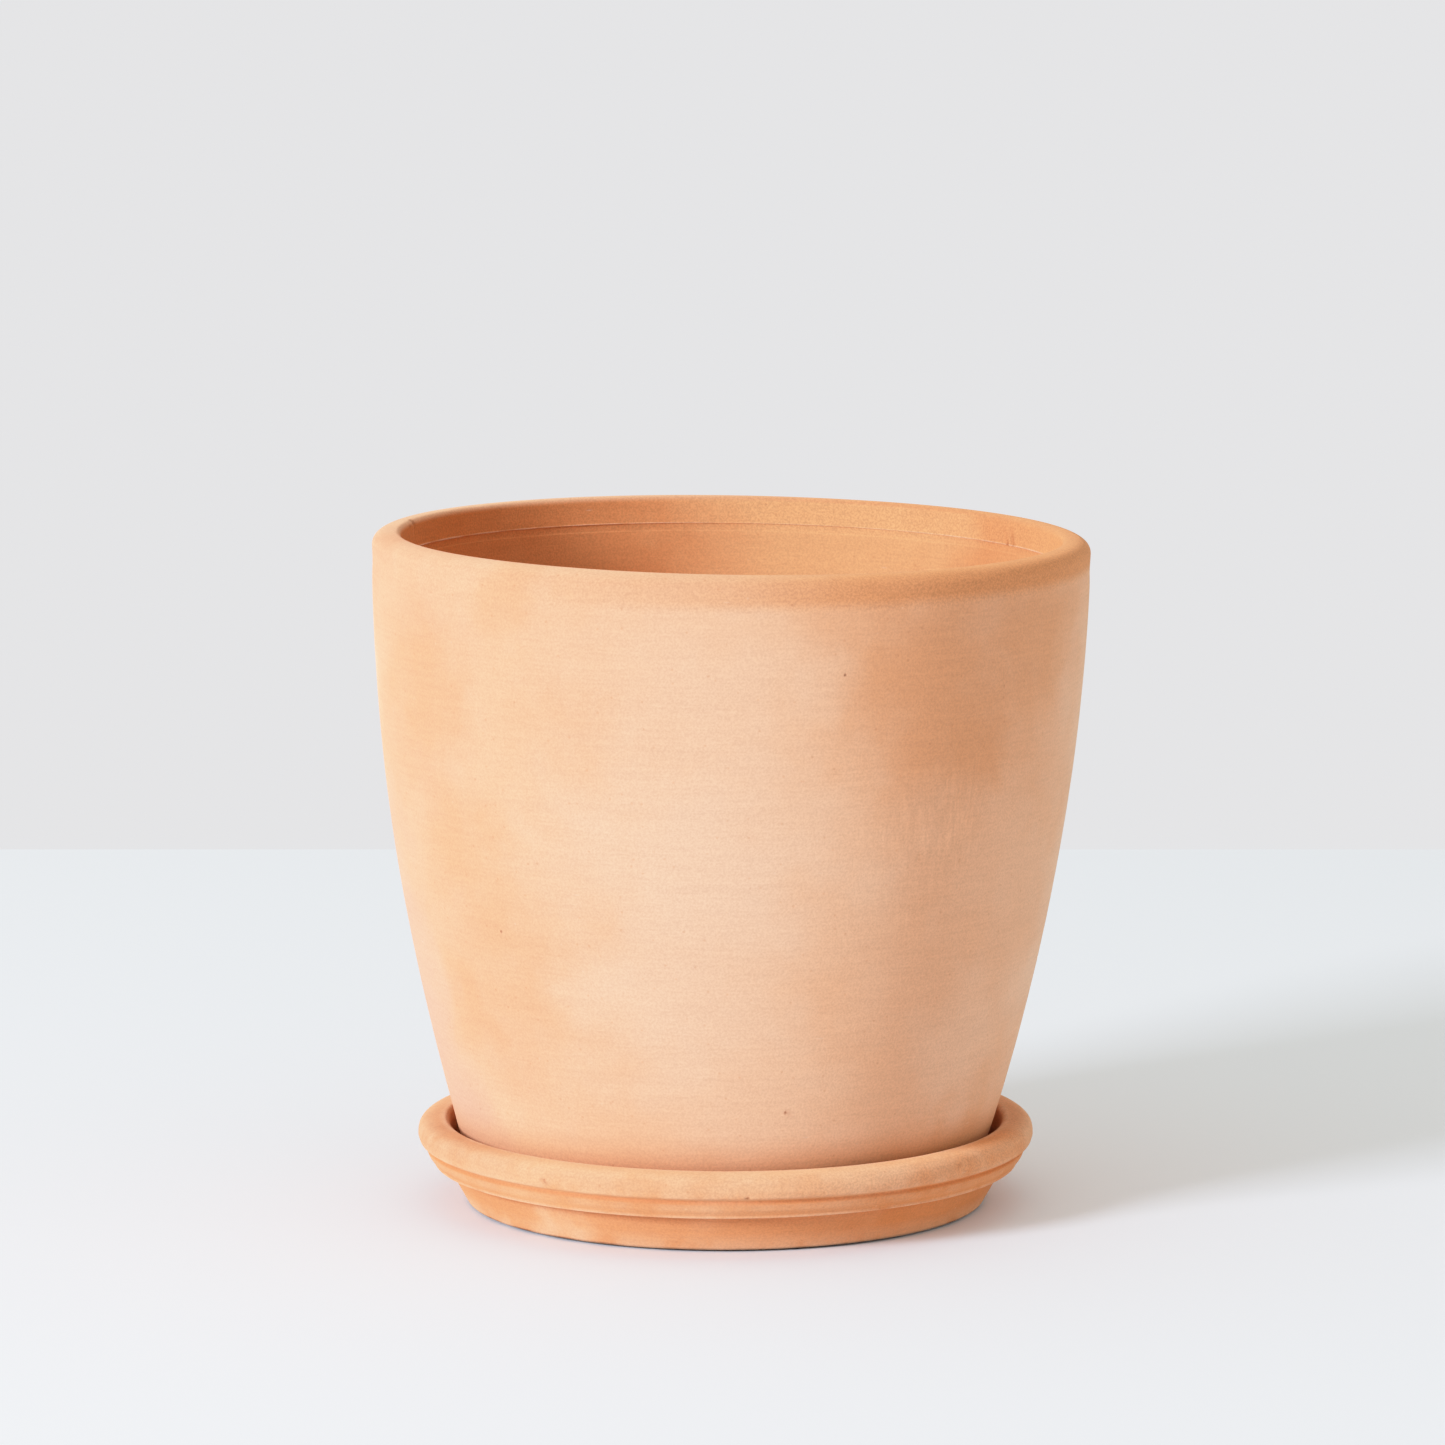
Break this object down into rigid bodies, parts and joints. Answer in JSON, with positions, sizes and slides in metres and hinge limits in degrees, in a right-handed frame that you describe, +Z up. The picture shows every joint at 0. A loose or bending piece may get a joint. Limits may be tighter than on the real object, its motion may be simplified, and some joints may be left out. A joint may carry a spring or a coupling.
{
  "type": "plant pot with saucer",
  "caption": "Round unglazed terracotta plant pot with a curved taper, a rounded rim and a drain hole, standing in a matching stepped drip saucer.",
  "frame": {"origin": "centre of the saucer's foot, on the surface that it stands on", "axes": "+Z up along the turning axis of both pieces; X and Y are level and interchangeable"},
  "size_m": [0.21, 0.21, 0.198],
  "materials": {
    "pot_clay": "unglazed matt terracotta, pale peach with a chalky bloom",
    "saucer_clay": "unglazed matt terracotta, a little more orange than the pot"
  },
  "bodies": {
    "saucer": {"saucer": "saucer_clay"},
    "pot": {"pot": "pot_clay"}
  },
  "joints": [
    {"name": "pot_lift", "type": "slide", "parent": "saucer", "child": "pot", "axis": [0, 0, 1], "range_m": [0, 0.08]}
  ]
}
